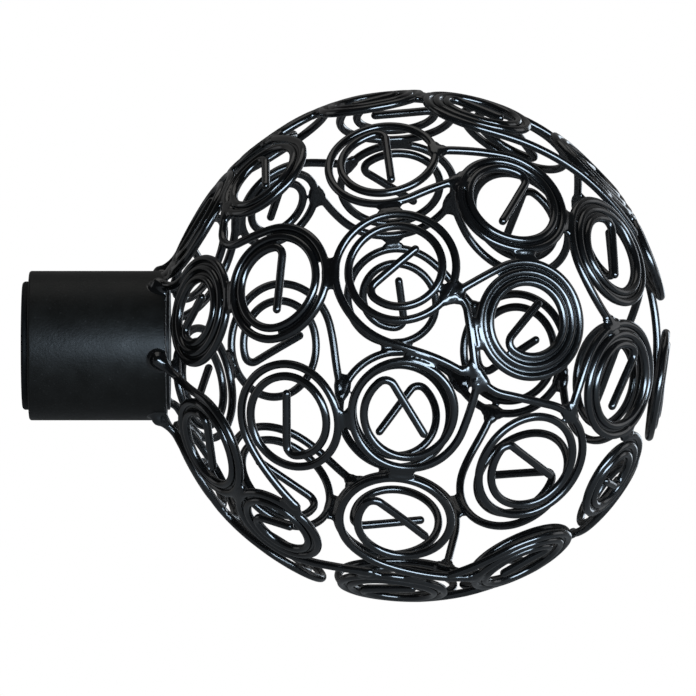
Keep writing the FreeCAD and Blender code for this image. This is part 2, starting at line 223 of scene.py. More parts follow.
class WoundScroll:
    """The path of one scroll, wound from the bar in its eye, and its place on the ball."""

    def __init__(self, scroll, rim):
        self.scroll = scroll
        self.rim = rim
        pitch = pitch_of(scroll)
        rim_radius = SHELL_RADIUS * math.sin(math.radians(rim))
        turns = min(scroll.turns, (rim_radius - EYE_LEAST) / pitch)
        eye_radius = rim_radius - turns * pitch
        self.wire = BentWire(np.zeros(3), np.array((1.0, 0.0, 0.0)))
        self.wire.feed(2 * eye_radius - EYE_BEND - BAR_CLEARANCE)
        self.wire.bend_left(EYE_BEND, EYE_TURN)
        axis_at = self.wire.place + np.cross(FLAT, self.wire.heading) * eye_radius
        half_turns = 2 * turns
        ring_radius = eye_radius
        spread = eye_radius
        while half_turns > 0:
            far_spread = 2 * ring_radius - spread
            drop = shell_depth(far_spread) - shell_depth(spread)
            self.wire.bend_left(ring_radius, 180 * min(1, half_turns), drop)
            spread = far_spread
            ring_radius += pitch / 2
            half_turns -= 1
        end = self.wire.place - axis_at
        end_depth = shell_depth(math.hypot(end[0], end[1]))
        self.ball_centre = axis_at + FLAT * (end[2] + end_depth - SHELL_RADIUS)
        outward, away, up = on_ball(scroll.polar, scroll.around)
        bar = math.radians(scroll.bar)
        bar_way = away * math.cos(bar) + up * math.sin(bar)
        self.turn = np.column_stack((bar_way, np.cross(outward, bar_way), outward))
        self.offset = BALL_CENTRE - self.turn @ self.ball_centre
        self.outer_turn = self.placed(self.wire.runs[-OUTER_ARCS:])
        self.tail = None

    def placed(self, runs):
        """The points of these runs, where they lie on the finial."""
        return np.vstack(runs) @ self.turn.T + self.offset

    def add_tail(self, obstacles):
        """Run the tail along the ball until it meets the next wire, and stop a weld's gap short of it."""
        first = len(self.wire.runs)
        for travel, turn in self.scroll.tail:
            length = SHELL_RADIUS * math.radians(travel)
            reached = self.clear_length(length, turn, obstacles)
            if reached > 0:
                self.wire.run_on_ball(self.ball_centre, reached, turn * reached / length)
            if reached < length:
                break
        if len(self.wire.runs) > first:
            self.tail = self.placed(self.wire.runs[first:])

    def clear_length(self, length, turn, obstacles):
        """How far a run of the tail goes before its tip comes too near another wire."""
        reached = 0.0
        gap = END_CLEAR
        while reached < length:
            ahead = min(length, reached + max((gap - END_CLEAR) / 2, TAIL_STEP))
            trial = BentWire(self.wire.place, self.wire.heading)
            trial.run_on_ball(self.ball_centre, ahead, turn * ahead / length)
            there = obstacles - self.turn @ trial.place - self.offset
            apart = np.linalg.norm(there, axis=1)
            aside = np.linalg.norm(np.cross(there, self.turn @ trial.heading), axis=1)
            gap = (apart - WIRE_RADIUS * aside / apart).min()
            if gap < END_CLEAR:
                break
            reached = ahead
        return reached

    def add_seat(self):
        """Bring the end of the wire to the side of the collar, slanting along it."""
        first = len(self.wire.runs)
        seat = math.radians(self.scroll.seat)
        slant = math.radians(SEAT_SLANT)
        sideways = np.array((0.0, -math.cos(seat), math.sin(seat)))
        target = sideways * (COLLAR_RADIUS + WIRE_RADIUS + WELD_GAP)
        target[0] = COLLAR_LENGTH - SEAT_OVERLAP
        arrival = np.array((0.0, math.sin(seat), math.cos(seat))) * math.sin(slant)
        arrival[0] = -math.cos(slant)
        self.wire.reach_point(self.turn.T @ (target - self.offset), self.turn.T @ arrival)
        self.tail = self.placed(self.wire.runs[first:])

    def centre_line(self):
        """All the points of the wire, in order, each once."""
        points = self.placed(self.wire.runs)
        steps = np.linalg.norm(np.diff(points, axis=0), axis=1)
        return points[np.concatenate(([True], steps > SAME_POINT))]


def angle_between(one, other):
    """Angle between two scrolls' axes at the ball's centre."""
    return angle_of(on_ball(one.polar, one.around)[0], on_ball(other.polar, other.around)[0])


def pitch_of(scroll):
    """Distance from one turn of a scroll to the next."""
    return WIRE_DIAMETER + WINDING_GAP + scroll.loose


def shell_depth(spread):
    """How far the ball's curve falls away at a distance from a scroll's axis."""
    return SHELL_RADIUS - math.sqrt(SHELL_RADIUS ** 2 - spread ** 2)


def reach_towards(scroll, other):
    """Angular radius of a scroll on the side of another one: it is at its largest where its winding ends."""
    outward, away, up = on_ball(scroll.polar, scroll.around)
    there = on_ball(other.polar, other.around)[0]
    bearing = math.degrees(math.atan2(np.dot(there, up), np.dot(there, away)))
    end = scroll.bar + EYE_TURN - 90 + 360 * scroll.turns
    behind = max(0.0, (end - bearing + END_MARGIN) % 360 - 2 * END_MARGIN)
    return scroll.rim - math.degrees(pitch_of(scroll) / SHELL_RADIUS) * behind / 360


def hidden_scrolls(seen, count, polar, number):
    """Scrolls that share the rest of a row evenly."""
    last = seen[-1]
    room = 360 - (seen[0].around - last.around)
    for place in range(1, count + 1):
        around = last.around - room * place / (count + 1)
        turns = HIDDEN_TURNS[(number + place) % len(HIDDEN_TURNS)]
        loose = HIDDEN_LOOSE[(number + place) % len(HIDDEN_LOOSE)]
        if last.seat is None:
            bar = HIDDEN_BAR_STEP * (number + place)
            yield Scroll(polar, around, bar, turns, loose, HIDDEN_RIM, TAIL_PLAIN)
        else:
            bar = SEAT_BEARING + 90 - EYE_TURN - 360 * turns
            yield Scroll(polar, around, bar, turns, loose, HIDDEN_RIM, (), around + SEAT_LEAD)


def room_round(scroll, scrolls):
    """Angle left between a scroll and its nearest neighbour, less the wire and the weld."""
    return min(angle_between(scroll, other) - reach_towards(scroll, other) - reach_towards(other, scroll)
               for other in scrolls if other is not scroll) - math.degrees(CLEAR / SHELL_RADIUS)


def neighbours(scroll, wound):
    """The wound scrolls near enough for this one, or its tail, to meet them."""
    return [other for other in wound if other is not scroll
            and angle_between(other.scroll, scroll.scroll) < 2 * (scroll.rim + other.rim)]


def grown(scroll, wound):
    """The same scroll wound larger, until it meets its nearest neighbour or has its full size."""
    gap = min(np.linalg.norm(scroll.outer_turn[:, None] - other.outer_turn[None], axis=2).min()
              for other in neighbours(scroll, wound))
    growth = max(0.0, math.degrees((gap - CLEAR) / SHELL_RADIUS))
    return WoundScroll(scroll.scroll, min(scroll.rim + growth, scroll.scroll.rim))


def wind_all():
    """Every scroll of the ball, wound, seated and with its tail, in the order of the CAD nodes."""
    scrolls = []
    for seen, count, polar in ROWS:
        scrolls += list(seen) + list(hidden_scrolls(seen, count, polar, len(scrolls)))
    wound = [WoundScroll(scroll, scroll.rim + min(0.0, room_round(scroll, scrolls)) / 2)
             for scroll in scrolls]
    for place, scroll in enumerate(wound):
        wound[place] = grown(scroll, wound)
    for scroll in wound:
        if scroll.scroll.seat is not None:
            scroll.add_seat()
    for scroll in wound:
        if scroll.scroll.tail:
            near = neighbours(scroll, wound)
            scroll.add_tail(np.vstack([other.outer_turn for other in near]
                                      + [other.tail for other in near if other.tail is not None]))
    return wound


# Node trees

# The sockets of a Mix node: its factor, then its two numbers or its two colours, and a mixed colour
MIX_FACTOR = 0
MIX_NUMBERS = (2, 3)
MIX_COLOURS = (6, 7)
MIXED_COLOUR = 2
# A wire's end is rounded up to this share of its radius, and closed flat there
ROUNDED_SHARE = 0.98
# How much the mottling of a coat adds to its height
MOTTLE_RELIEF = 0.5


def add_node(tree, kind, inputs=None, **settings):
    """A node with its settings and input values; an input is a value or another node's output socket."""
    node = tree.nodes.new(kind)
    for name, value in settings.items():
        setattr(node, name, value)
    for key, value in (inputs or {}).items():
        if isinstance(value, bpy.types.NodeSocket):
            tree.links.new(value, node.inputs[key])
        else:
            node.inputs[key].default_value = value
    return node


def maths(tree, operation, *values):
    """A maths node's result."""
    return add_node(tree, "ShaderNodeMath", dict(enumerate(values)), operation=operation).outputs[0]


def new_group(name, kind, inputs, outputs):
    """An empty node group with its sockets, and its input and output nodes."""
    group = bpy.data.node_groups.new(name, kind)
    for socket, socket_type, default in inputs:
        made = group.interface.new_socket(socket, in_out="INPUT", socket_type=socket_type)
        if default is not None:
            made.default_value = default
    for socket, socket_type in outputs:
        group.interface.new_socket(socket, in_out="OUTPUT", socket_type=socket_type)
    return group, group.nodes.new("NodeGroupInput").outputs, group.nodes.new("NodeGroupOutput").inputs


def wire_tree():
    """Geometry nodes that draw a round wire along a line, with rounded ends and an uneven coat of paint."""
    tree, given, result = new_group(
        "drawn_wire", "GeometryNodeTree",
        (("Line", "NodeSocketGeometry", None), ("Wire Radius", "NodeSocketFloat", 0.0006),
         ("Sides", "NodeSocketInt", 16), ("Unevenness", "NodeSocketFloat", 0.02),
         ("Paint Scale", "NodeSocketFloat", 300.0), ("Seed", "NodeSocketFloat", 0.0),
         ("Paint", "NodeSocketMaterial", None)),
        (("Wire", "NodeSocketGeometry"),))
    curve = add_node(tree, "GeometryNodeMeshToCurve", {"Mesh": given["Line"]}).outputs["Curve"]
    along = add_node(tree, "GeometryNodeSplineParameter").outputs["Length"]
    whole = add_node(tree, "GeometryNodeSplineLength").outputs["Length"]
    to_end = maths(tree, "MINIMUM", along, maths(tree, "SUBTRACT", whole, along))
    short = maths(tree, "SUBTRACT", 1.0, maths(tree, "DIVIDE", to_end, given["Wire Radius"]))
    short = maths(tree, "MINIMUM", maths(tree, "MAXIMUM", short, 0.0), ROUNDED_SHARE)
    rounding = maths(tree, "SQRT", maths(tree, "SUBTRACT", 1.0, maths(tree, "POWER", short, 2.0)))
    place = add_node(tree, "GeometryNodeInputPosition").outputs[0]
    coat = add_node(tree, "ShaderNodeTexNoise",
                    {"Vector": place, "W": given["Seed"], "Scale": given["Paint Scale"], "Detail": 2.0},
                    noise_dimensions="4D").outputs[0]
    thinner = maths(tree, "SUBTRACT", 1.0, maths(tree, "MULTIPLY", given["Unevenness"], coat))
    radius = maths(tree, "MULTIPLY", rounding, thinner)
    section = add_node(tree, "GeometryNodeCurvePrimitiveCircle",
                       {"Resolution": given["Sides"], "Radius": given["Wire Radius"]}).outputs["Curve"]
    swept = add_node(tree, "GeometryNodeCurveToMesh",
                     {"Curve": curve, "Profile Curve": section, "Scale": radius, "Fill Caps": True})
    smooth = add_node(tree, "GeometryNodeSetShadeSmooth", {"Geometry": swept.outputs["Mesh"]})
    real = add_node(tree, "GeometryNodeRealizeInstances", {"Geometry": smooth.outputs["Geometry"]})
    painted = add_node(tree, "GeometryNodeSetMaterial",
                       {"Geometry": real.outputs["Geometry"], "Material": given["Paint"]})
    tree.links.new(painted.outputs["Geometry"], result["Wire"])
    return tree


def socket_of(tree, name):
    """The identifier by which a modifier sets one of a tree's inputs."""
    return next(item.identifier for item in tree.interface.items_tree
                if item.name == name and item.in_out == "INPUT")


def grow_by(tree, obj, values):
    """The plain mesh that a geometry tree makes from an object's mesh with these input values."""
    modifier = obj.modifiers.new(tree.name, "NODES")
    modifier.node_group = tree
    for name, value in values.items():
        modifier[socket_of(tree, name)] = value
    graph = bpy.context.evaluated_depsgraph_get()
    mesh = bpy.data.meshes.new_from_object(obj.evaluated_get(graph))
    obj.modifiers.remove(modifier)
    return mesh


# Finishes

def unevenness_group():
    """Slow mottling and fine orange peel of a coat of paint, as a mask and a height."""
    group, given, result = new_group(
        "coat_unevenness", "ShaderNodeTree",
        (("Place", "NodeSocketVector", None), ("Mottle Scale", "NodeSocketFloat", 120.0),
         ("Peel Scale", "NodeSocketFloat", 1500.0), ("Peel Share", "NodeSocketFloat", 0.5)),
        (("Mottle", "NodeSocketFloat"), ("Height", "NodeSocketFloat")))
    mottle = add_node(group, "ShaderNodeTexNoise",
                      {"Vector": given["Place"], "Scale": given["Mottle Scale"], "Detail": 4.0,
                       "Roughness": 0.6}).outputs[0]
    peel = add_node(group, "ShaderNodeTexNoise",
                    {"Vector": given["Place"], "Scale": given["Peel Scale"], "Detail": 2.0}).outputs[0]
    spread = add_node(group, "ShaderNodeMapRange",
                      {"Value": mottle, "From Min": 0.3, "From Max": 0.7}).outputs[0]
    height = maths(group, "ADD", maths(group, "MULTIPLY", peel, given["Peel Share"]),
                   maths(group, "MULTIPLY", spread, MOTTLE_RELIEF))
    group.links.new(spread, result["Mottle"])
    group.links.new(height, result["Height"])
    return group


def dust_group():
    """Fine specks of dust and tiny scuffs, as a mask."""
    group, given, result = new_group(
        "dust_specks", "ShaderNodeTree",
        (("Place", "NodeSocketVector", None), ("Speck Scale", "NodeSocketFloat", 900.0),
         ("Share", "NodeSocketFloat", 0.1)),
        (("Specks", "NodeSocketFloat"),))
    cells = add_node(group, "ShaderNodeTexVoronoi",
                     {"Vector": given["Place"], "Scale": given["Speck Scale"]}).outputs["Distance"]
    patches = add_node(group, "ShaderNodeTexNoise", {"Vector": given["Place"], "Scale": 160.0}).outputs[0]
    specks = add_node(group, "ShaderNodeMapRange",
                      {"Value": cells, "From Min": given["Share"], "From Max": 0.0}).outputs[0]
    group.links.new(maths(group, "MULTIPLY", specks, patches), result["Specks"])
    return group


UNEVENNESS = unevenness_group()
DUST = dust_group()


def mixed_colour(tree, factor, first, second):
    """A colour between two others."""
    inputs = {MIX_FACTOR: factor, MIX_COLOURS[0]: first, MIX_COLOURS[1]: second}
    return add_node(tree, "ShaderNodeMix", inputs, data_type="RGBA").outputs[MIXED_COLOUR]


def coated(name, dark, light, matt, shine, bump, mottle_scale, peel_scale, dust_share, dust_colour):
    """A painted or moulded dark finish: mottled colour and gloss, orange peel and a little dust."""
    material = bpy.data.materials.new(name)
    material.use_nodes = True
    tree = material.node_tree
    shader = tree.nodes["Principled BSDF"]
    shader.inputs["Specular IOR Level"].default_value = shine
    place = add_node(tree, "ShaderNodeTexCoord").outputs["Object"]
    coat = add_node(tree, "ShaderNodeGroup",
                    {"Place": place, "Mottle Scale": mottle_scale, "Peel Scale": peel_scale},
                    node_tree=UNEVENNESS)
    dust = add_node(tree, "ShaderNodeGroup", {"Place": place, "Share": dust_share}, node_tree=DUST)
    colour = mixed_colour(tree, coat.outputs["Mottle"], dark, light)
    dusted = mixed_colour(tree, dust.outputs["Specks"], colour, dust_colour)
    tree.links.new(dusted, shader.inputs["Base Color"])
    gloss = add_node(tree, "ShaderNodeMapRange",
                     {"Value": coat.outputs["Mottle"], "To Min": matt[0], "To Max": matt[1]})
    tree.links.new(gloss.outputs[0], shader.inputs["Roughness"])
    relief = add_node(tree, "ShaderNodeBump",
                      {"Height": coat.outputs["Height"], "Strength": bump, "Distance": 0.0001})
    tree.links.new(relief.outputs["Normal"], shader.inputs["Normal"])
    return material


WIRE_PAINT = coated(
    "wire_paint", dark=(0.0010, 0.0011, 0.0012, 1), light=(0.0026, 0.0028, 0.0031, 1), matt=(0.13, 0.20),
    shine=0.95, bump=0.02, mottle_scale=260.0, peel_scale=1500.0, dust_share=0.10,
    dust_colour=(0.020, 0.020, 0.020, 1))
COLLAR_PAINT = coated(
    "collar_paint", dark=(0.0046, 0.0042, 0.0035, 1), light=(0.0068, 0.0062, 0.0052, 1), matt=(0.35, 0.47),
    shine=0.20, bump=0.42, mottle_scale=320.0, peel_scale=2600.0, dust_share=0.16,
    dust_colour=(0.026, 0.024, 0.022, 1))
DISC_PAINT = coated(
    "disc_paint", dark=(0.0032, 0.0030, 0.0028, 1), light=(0.0056, 0.0053, 0.0050, 1), matt=(0.34, 0.46),
    shine=0.30, bump=0.22, mottle_scale=200.0, peel_scale=1700.0, dust_share=0.12,
    dust_colour=(0.026, 0.026, 0.026, 1))
SLEEVE_PLASTIC = coated(
    "sleeve_plastic", dark=(0.0024, 0.0024, 0.0024, 1), light=(0.0044, 0.0044, 0.0044, 1),
    matt=(0.52, 0.62), shine=0.20, bump=0.25, mottle_scale=220.0, peel_scale=2200.0, dust_share=0.08,
    dust_colour=(0.015, 0.015, 0.015, 1))


# Turned pieces

TURNED_SIDES = 180
SHARP_EDGE = math.radians(32)


def new_object(name, data):
    """An object in the scene's own collection."""
    made = bpy.data.objects.new(name, data)
    bpy.context.scene.collection.objects.link(made)
    return made


def new_piece(name, mesh, paint, slot, *nodes):
    """Finish a piece: painted, on the body, in place of its CAD nodes."""
    piece = new_object(name, mesh)
    if not mesh.materials:
        mesh.materials.append(paint)
    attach(piece, BODY)
    if nodes:
        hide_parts(*nodes)


def mesh_of(name, points, faces):
    """A smooth mesh from points in millimetres."""
    mesh = bpy.data.meshes.new(name)
    mesh.from_pydata((np.asarray(points) * MM).tolist(), [], faces)
    mesh.polygons.foreach_set("use_smooth", [True] * len(mesh.polygons))
    mesh.update()
    return mesh


def rounded_corner(x, r, radius, start):
    """Points of a quarter round in a turned profile, from a start angle on, counter-clockwise."""
    angles = [math.radians(start + 90 * step / CORNER_STEPS) for step in range(CORNER_STEPS + 1)]
    return [(x + radius * math.cos(angle), r + radius * math.sin(angle)) for angle in angles]


def turned_mesh(name, profile):
    """A solid turned about the pole axis from a closed profile of (x, radius), counter-clockwise."""
    angles = np.linspace(0, 2 * math.pi, TURNED_SIDES, endpoint=False)
    points = np.array([(x, -r * math.cos(a), r * math.sin(a)) for a in angles for x, r in profile])
    count = len(profile)
    faces = []
    for side in range(TURNED_SIDES):
        ahead = (side + 1) % TURNED_SIDES
        for k in range(count):
            after = (k + 1) % count
            faces.append((side * count + k, side * count + after, ahead * count + after, ahead * count + k))
    mesh = mesh_of(name, points, faces)
    mesh.set_sharp_from_angle(angle=SHARP_EDGE)
    return mesh


def tube_profile(back, front, outer, bore, edge, rounded):
    """A tube's closed profile, with its outer edge rounded at the ends that are named."""
    profile = [(back, bore), (front, bore)]
    if "front" in rounded:
        profile += rounded_corner(front - edge, outer - edge, edge, 0)
    else:
        profile.append((front, outer))
    if "back" in rounded:
        profile += rounded_corner(back + edge, outer - edge, edge, 90)
    else:
        profile.append((back, outer))
    return profile


new_piece("collar_tube", turned_mesh("collar_tube", tube_profile(
    0.0, COLLAR_LENGTH, COLLAR_RADIUS, COLLAR_BORE, COLLAR_EDGE, ("front", "back"))),
    COLLAR_PAINT, "collar_paint", "collar")
new_piece("reducer_insert", turned_mesh("reducer_insert", tube_profile(
    -SLEEVE_LIP, SLEEVE_DEPTH, SLEEVE_RADIUS, SLEEVE_BORE, SLEEVE_EDGE, ("back",))),
    SLEEVE_PLASTIC, "sleeve_plastic", "reducer_sleeve")

# The disc's profile stops just short of the pole axis
AXIS_RADIUS = 0.01
disc_profile = [(DISC_BACK, AXIS_RADIUS), (DISC_FRONT, AXIS_RADIUS)]
disc_profile += rounded_corner(DISC_FRONT - DISC_EDGE, SLEEVE_RADIUS - DISC_EDGE, DISC_EDGE, 0)
disc_profile.append((DISC_BACK, SLEEVE_RADIUS))
new_piece("collar_end_disc", turned_mesh("collar_end_disc", disc_profile),
          DISC_PAINT, "disc_paint", "end_disc")

# Scroll wires

# How far a wire is bent out of true, over what length, and the seed of the field that bends it
WAVER = 0.2
WAVER_LENGTH = 13.0
WAVER_SEED = 11
# Closer points at a wire's ends, and how many wire radii they take up
END_STEPS = 6
END_SPACE = 1.2
# Sides of a wire, how uneven its coat is and how fine that unevenness is
WIRE_SIDES = 16
COAT_UNEVENNESS = 0.05
COAT_SCALE = 350.0
SEED_STEP = 3.7
# A tail that ends close to another wire is drawn on into it, as the weld melts it in
MELT_MOST = 2.0
MELT_STEP = 0.1
MELT_DEPTH = 0.5


def wavered(points):
    """Points moved a little by one slow field, so that wires which meet stay together; never outwards."""
    moves = np.array([noise.noise_vector(Vector(p / WAVER_LENGTH)) for p in points]) * WAVER
    outward = points - BALL_CENTRE
    outward /= np.linalg.norm(outward, axis=1)[:, None]
    rising = np.maximum(0.0, np.sum(moves * outward, axis=1))[:, None]
    return points + moves - rising * outward


def with_round_ends(points):
    """The same line with closer points at both ends, where the wire's end is rounded."""
    near = WIRE_RADIUS * (1 - np.cos(np.linspace(0, math.pi / 2, END_STEPS)))
    for _ in range(2):
        heading = unit(points[2] - points[0])
        travelled = np.linalg.norm(points - points[0], axis=1)
        first = int(np.argmax(travelled > WIRE_RADIUS * END_SPACE))
        points = np.vstack((points[0] + np.outer(near, heading), points[first:]))[::-1]
    return points


def melted(line, others):
    """A line drawn on until it runs into one of the other wires, if one lies close ahead of its end."""
    ahead = line[-1] + np.outer(np.arange(MELT_STEP, MELT_MOST, MELT_STEP), unit(line[-1] - line[-3]))
    gaps = np.linalg.norm(ahead[:, None] - others[None], axis=2).min(axis=1)
    if gaps.min() > MELT_DEPTH:
        return line
    return np.vstack((line, ahead[:np.argmax(gaps < MELT_DEPTH) + 1]))


def inside_box(line):
    """A line kept far enough inside the CAD box for its wire."""
    return np.clip(line, np.array(cad_box[0]) / MM + WIRE_RADIUS, np.array(cad_box[1]) / MM - WIRE_RADIUS)


noise.seed_set(WAVER_SEED)
wound_scrolls = wind_all()
lines = [wavered(scroll.centre_line()) for scroll in wound_scrolls]
loose_ends = [scroll.scroll.seat is None for scroll in wound_scrolls]
lines = [melted(line, np.vstack(lines[:place] + lines[place + 1:])) if loose else line
         for place, (line, loose) in enumerate(zip(lines, loose_ends))]
lines = [inside_box(line) for line in lines]

WIRE_TREE = wire_tree()
for number, line in enumerate(lines, start=1):
    name = f"scroll_wire_{number:02d}"
    drawn = with_round_ends(line)
    path = bpy.data.meshes.new(f"{name}_line")
    path.from_pydata((drawn * MM).tolist(), [(k, k + 1) for k in range(len(drawn) - 1)], [])
    rail = new_object(f"{name}_line", path)
    mesh = grow_by(WIRE_TREE, rail, {
        "Wire Radius": WIRE_RADIUS * MM, "Sides": WIRE_SIDES, "Unevenness": COAT_UNEVENNESS,
        "Paint Scale": COAT_SCALE, "Seed": SEED_STEP * number, "Paint": WIRE_PAINT})
    bpy.data.objects.remove(rail)
    mesh.name = name
    new_piece(name, mesh, WIRE_PAINT, "wire_paint", f"scroll_{number:02d}")

# Paint that fills the corners between the turns of a winding

# Radius of the fill's hollow, and how much of its height is left after it has sunk
WINDING_FILLET = 0.2
WINDING_SINK = 0.35
# Points of a wire that are closer than this along it count as one turn
SAME_TURN = 12.0
FILLET_STEPS = 5
LEAST_FILL = 0.02
LEAST_RINGS = 3
# The fill stops where the sine of the angle between the wire and the way across is less than this
LEAST_SIDEWAYS = 0.35


def nearest_on(points, line, allowed=None):
    """For each point, the nearest point on a line, by its segments next to the nearest of its points."""
    apart = np.linalg.norm(points[:, None] - line[None], axis=2)
    if allowed is not None:
        apart = np.where(allowed, apart, np.inf)
    index = apart.argmin(axis=1)
    best = line[index].copy()
    least = apart[np.arange(len(points)), index]
    for shift in (-1, 0):
        start = np.clip(index + shift, 0, len(line) - 2)
        span = line[start + 1] - line[start]
        share = np.sum((points - line[start]) * span, axis=1) / np.sum(span * span, axis=1)
        there = line[start] + np.clip(share, 0, 1)[:, None] * span
        gap = np.linalg.norm(points - there, axis=1)
        closer = (gap < least) & np.isfinite(least)
        best[closer] = there[closer]
        least = np.where(closer, gap, least)
    return best, least


def fillet_ring(here, there, heading):
    """One section of the fill between two turns: a sunken hourglass, or None where it is too thin."""
    gap = there - here
    half = np.linalg.norm(gap) / 2
    across = gap / (2 * half)
    side = np.cross(heading, across)
    if np.linalg.norm(side) < LEAST_SIDEWAYS:
        return None
    side = unit(side)
    reach = WIRE_RADIUS + WINDING_FILLET
    if half >= reach:
        return None
    height = math.sqrt(reach ** 2 - half ** 2)
    if height - WINDING_FILLET < LEAST_FILL:
        return None
    middle = (here + there) / 2
    most = math.atan2(half, height)
    swing = np.linspace(-most, most, FILLET_STEPS)
    along = WINDING_FILLET * np.sin(swing)
    rise = (height - WINDING_FILLET * np.cos(swing)) * WINDING_SINK
    top = middle + np.outer(along, across) + np.outer(rise, side)
    under = middle + np.outer(along[::-1], across) - np.outer(rise[::-1], side)
    return np.vstack((top, under))


def loft(rings, points, faces):
    """Add a closed loft through rings of equal length to lists of points and faces."""
    count = len(rings[0])
    base = len(points)
    for ring in rings:
        points.extend(ring)
    for step in range(len(rings) - 1):
        low = base + step * count
        for k in range(count):
            after = (k + 1) % count
            faces.append((low + k, low + after, low + count + after, low + count + k))
    faces.append(tuple(base + k for k in reversed(range(count))))
    faces.append(tuple(base + (len(rings) - 1) * count + k for k in range(count)))


def fill_winding(line, points, faces):
    """Fill the corners between each turn of a wire and the next ones, in lists of points and faces."""
    travel = np.concatenate(([0.0], np.cumsum(np.linalg.norm(np.diff(line, axis=0), axis=1))))
    there, gap = nearest_on(line, line, travel[None] - travel[:, None] > SAME_TURN)
    headings = np.gradient(line, axis=0)
    headings /= np.linalg.norm(headings, axis=1)[:, None]
    limit = 2 * math.sqrt(WIRE_RADIUS ** 2 + 2 * WIRE_RADIUS * WINDING_FILLET)
    rings = []
    for index in range(len(line) + 1):
        ring = None
        if index < len(line) and gap[index] < limit:
            ring = fillet_ring(line[index], there[index], headings[index])
        if ring is not None:
            rings.append(ring)
            continue
        if len(rings) >= LEAST_RINGS:
            loft(rings, points, faces)
        rings = []


winding_points, winding_faces = [], []
for line in lines:
    fill_winding(line, winding_points, winding_faces)
new_piece("winding_paint", mesh_of("winding_paint", winding_points, winding_faces),
          WIRE_PAINT, "wire_paint")

# Welds: where wires meet, their skins run together, and the weld thins out along them

# How wide the skins run together: between wires, at a wire's seat on the collar, and at the collar's end
WELD_BLEND = 2.3
SEAT_BLEND = 2.2
RIM_BLEND = 2.8
# The most that a blend adds to a skin, as a share of its width
BLEND_SHARE = 0.25
LEAST_BLEND = 1e-6
# How far a weld reaches, its mesh's cells, and how deep it ends under the wires' own skins
WELD_REACH = 3.4
WELD_CELL = 0.22
WELD_SUNK = 0.025
CELL_CORNERS = 8
# The web between two wires: half its thickness, and how wide it runs up to them
WEB_HALF_THICKNESS = 0.3
WEB_EASE = 0.8
# Wires up to this gap apart are welded; places nearer to each other than the second value are one weld
WELD_WIDEST_GAP = 1.1
SAME_WELD = 1.6
# The first row is also welded to the collar's end, where its rings come near it and away from their seats
RIM_GAP = 1.4
RIM_APART = 2.5
SEAT_APART = 4.0
# Polar angles between one row of the ball and the next
ROW_LIMITS = (44.0, 71.0, 101.0, 129.0, 155.0)
COLLAR_SIDE = np.array((-1.0, 0.0, 0.0))


def wire_field(line, centre):
    """The distance to the skin of the stretch of a wire near a place, as a function of points; or None."""
    close = np.linalg.norm((line[1:] + line[:-1]) / 2 - centre, axis=1) < WELD_REACH + WELD_BLEND
    if not close.any():
        return None
    starts = line[:-1][close]
    spans = (line[1:] - line[:-1])[close]

    def field(points):
        least = np.full(len(points), np.inf)
        for start, span in zip(starts, spans):
            offset = points - start
            share = np.clip(offset @ span / (span @ span), 0, 1)
            least = np.minimum(least, np.sum((offset - share[:, None] * span) ** 2, axis=1))
        return np.sqrt(least) - WIRE_RADIUS
    return field


def collar_field(points):
    """The distance to the outer skin of the collar and the disc in its end."""
    beside = np.hypot(points[:, 1], points[:, 2])
    collar = np.maximum(beside - COLLAR_RADIUS, points[:, 0] - COLLAR_LENGTH)
    return np.minimum(collar, np.maximum(beside - SLEEVE_RADIUS, points[:, 0] - DISC_FRONT))


def blended(one, other, width):
    """The union of two distance fields, rounded out over a width where they meet."""
    shared = np.maximum(width - np.abs(one - other), 0)
    return np.minimum(one, other) - BLEND_SHARE * shared ** 2 / np.maximum(width, LEAST_BLEND)


def net_skin(field):
    """Points and quads of the zero surface of a field on a grid, with one point in each cell it crosses."""
    inside = field < 0
    sides = (slice(0, -1), slice(1, None))
    filled = sum(inside[a, b, c].astype(int) for a in sides for b in sides for c in sides)
    mixed = (filled > 0) & (filled < CELL_CORNERS)
    number = np.full(mixed.shape, -1)
    number[mixed] = np.arange(mixed.sum())
    total = np.zeros((mixed.sum(), 3))
    hits = np.zeros((mixed.sum(), 1))
    quads = []
    for axis in range(3):
        low = np.moveaxis(np.moveaxis(field, axis, 0)[:-1], 0, axis)
        high = np.moveaxis(np.moveaxis(field, axis, 0)[1:], 0, axis)
        crossing = (low < 0) != (high < 0)
        edges = np.argwhere(crossing)
        where = edges.astype(float)
        where[:, axis] += low[crossing] / (low[crossing] - high[crossing])
        first, second = [k for k in range(3) if k != axis]
        ring = []
        for shift in ((0, 0), (-1, 0), (-1, -1), (0, -1)):
            cells = edges.copy()
            cells[:, first] += shift[0]
            cells[:, second] += shift[1]
            numbers = number[tuple(cells.T)]
            np.add.at(total, numbers, where)
            np.add.at(hits, numbers, 1)
            ring.append(numbers)
        quad = np.stack(ring, axis=1)
        backward = (low[crossing] < 0) == (axis == 1)
        quad[backward] = quad[backward][:, ::-1]
        quads.append(quad)
    return total / hits, np.vstack(quads)


